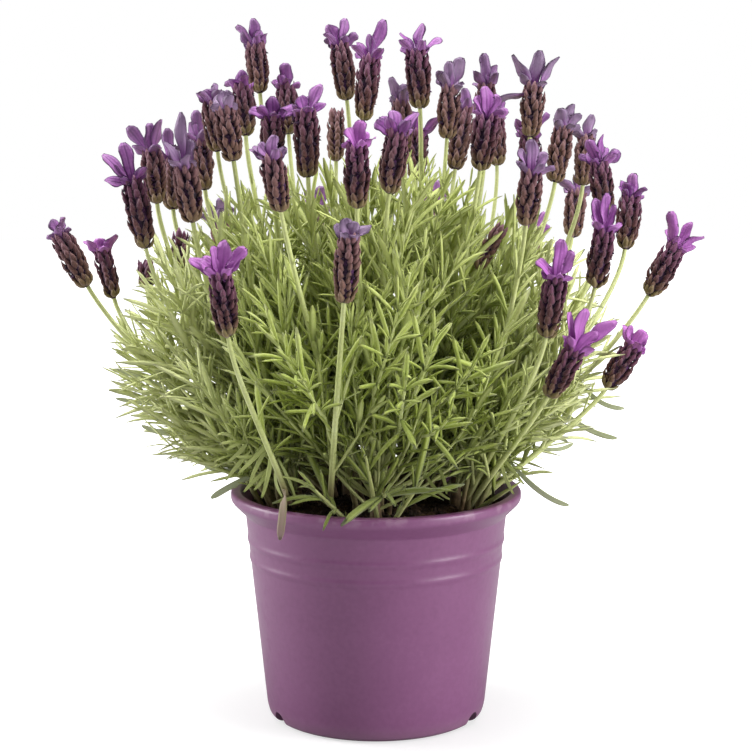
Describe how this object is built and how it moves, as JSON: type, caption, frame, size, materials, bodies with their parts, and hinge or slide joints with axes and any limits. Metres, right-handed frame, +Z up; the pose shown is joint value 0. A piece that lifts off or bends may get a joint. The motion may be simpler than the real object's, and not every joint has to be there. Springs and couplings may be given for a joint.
{
  "type": "potted lavender",
  "caption": "Flowering lavender with narrow leaves and dark spikes topped by long bracts, growing in a tapered plastic nursery pot.",
  "frame": {"origin": "centre of the pot's flat underside, which stands on the surface", "axes": "+Z up along the pot's axis, +X to the right and +Y away as seen from the front"},
  "size_m": [0.2869, 0.2478, 0.3118],
  "materials": {
    "pot_plastic": "satin mauve-purple moulded plastic",
    "soil": "dark moist peat with small crumbs",
    "foliage": "soft grey-green leaves and pale green stems, finely downy",
    "flowers": "dark maroon flower spikes with thin violet bracts"
  },
  "bodies": {
    "root": {"pot": "pot_plastic", "soil": "soil", "leafy_branch_1": "foliage", "leafy_branch_2": "foliage", "leafy_branch_3": "foliage", "leafy_branch_4": "foliage", "leafy_branch_5": "foliage", "leafy_branch_6": "foliage", "leafy_branch_7": "foliage", "leafy_branch_8": "foliage", "flower_head_01": "flowers", "flower_head_02": "flowers", "flower_head_03": "flowers", "flower_head_04": "flowers", "flower_head_05": "flowers", "flower_head_06": "flowers", "flower_head_07": "flowers", "flower_head_08": "flowers", "flower_head_09": "flowers", "flower_head_10": "flowers", "flower_head_11": "flowers", "flower_head_12": "flowers", "flower_head_13": "flowers", "flower_head_14": "flowers", "flower_head_15": "flowers", "flower_head_16": "flowers", "flower_head_17": "flowers", "flower_head_18": "flowers", "flower_head_19": "flowers", "flower_head_20": "flowers", "flower_head_21": "flowers", "flower_head_22": "flowers", "flower_head_23": "flowers", "flower_head_24": "flowers", "flower_head_25": "flowers", "flower_head_26": "flowers", "flower_head_27": "flowers", "flower_head_28": "flowers", "flower_head_29": "flowers", "flower_head_30": "flowers", "flower_head_31": "flowers", "flower_head_32": "flowers", "flower_head_33": "flowers", "flower_head_34": "flowers", "flower_head_35": "flowers", "flower_head_36": "flowers", "flower_head_37": "flowers", "flower_head_38": "flowers", "flower_head_39": "flowers", "flower_head_40": "flowers", "flower_head_41": "flowers", "flower_head_42": "flowers", "flower_head_43": "flowers", "flower_head_44": "flowers", "flower_head_45": "flowers", "flower_head_46": "flowers", "flower_head_47": "flowers", "flower_head_48": "flowers", "flower_head_49": "flowers", "flower_head_50": "flowers"}
  },
  "joints": []
}
